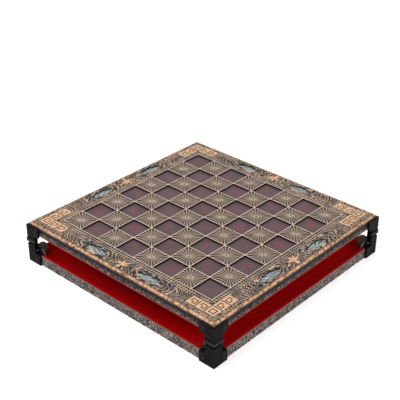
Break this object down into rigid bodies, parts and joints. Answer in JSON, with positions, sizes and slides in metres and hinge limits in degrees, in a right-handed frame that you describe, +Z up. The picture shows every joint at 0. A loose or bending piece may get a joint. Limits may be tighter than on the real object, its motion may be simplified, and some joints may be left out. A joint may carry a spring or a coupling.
{
  "type": "chess board",
  "caption": "Square chess board with a cast relief playing slab on corner posts over a felt-lined tray; the slab lifts straight off.",
  "frame": {"origin": "middle of the underside of the tray, on the table", "axes": "+Z up, -Y to the side left of the nearest corner in the picture, +X to the side right of it"},
  "size_m": [0.465, 0.465, 0.0845],
  "materials": {
    "floor_panel": "plain fibreboard",
    "red_felt": "short-napped felt",
    "tray_rail": "speckled grey paint with a copper bead",
    "slab_rail": "speckled blue-grey paint with a brown bead",
    "black_casting": "satin black",
    "black_screw": "satin black",
    "brace_metal": "dull green-grey",
    "steel": "plain turned",
    "core_board": "plain fibreboard",
    "lining": "black lining sheet",
    "antique_plate": "antique metal, dark in the hollows",
    "antique_border": "antique metal, dark in the hollows",
    "dark_enamel": "satin, softly blotched",
    "bright_copper": "pale copper",
    "edge_copper": "hammered copper",
    "shell": "blue-grey shell"
  },
  "bodies": {
    "tray": {"tray_floor": "floor_panel", "floor_felt": "red_felt", "tray_rail_front": "tray_rail", "tray_rail_right": "tray_rail", "tray_rail_back": "tray_rail", "tray_rail_left": "tray_rail", "wall_felt_front": "red_felt", "wall_felt_right": "red_felt", "wall_felt_back": "red_felt", "wall_felt_left": "red_felt", "lower_corner_back_right": "black_casting", "lower_corner_back_left": "black_casting", "lower_corner_front_left": "black_casting", "lower_corner_front_right": "black_casting", "corner_brace_back_right": "brace_metal", "corner_brace_back_left": "brace_metal", "corner_brace_front_left": "brace_metal", "corner_brace_front_right": "brace_metal", "brace_bolts": "steel", "lower_corner_screws": "black_screw"},
    "board": {"core_panel": "core_board", "slab_lining": "lining", "slab_rail_front": "slab_rail", "slab_rail_right": "slab_rail", "slab_rail_back": "slab_rail", "slab_rail_left": "slab_rail", "upper_corner_back_right": "black_casting", "upper_corner_back_left": "black_casting", "upper_corner_front_left": "black_casting", "upper_corner_front_right": "black_casting", "upper_corner_screws": "black_screw", "fret_plate": "antique_plate", "dark_squares": "dark_enamel", "border_strip_front": "antique_border", "border_strip_right": "antique_border", "border_strip_back": "antique_border", "border_strip_left": "antique_border", "key_corner_back_right": "bright_copper", "key_corner_back_left": "bright_copper", "key_corner_front_left": "bright_copper", "key_corner_front_right": "bright_copper", "shell_inlays": "shell", "sprigs": "bright_copper", "edge_strip_front": "edge_copper", "edge_strip_right": "edge_copper", "edge_strip_back": "edge_copper", "edge_strip_left": "edge_copper"}
  },
  "joints": [
    {"name": "board_lift", "type": "slide", "parent": "tray", "child": "board", "axis": [0, 0, 1], "range_m": [0, 0.12]}
  ]
}
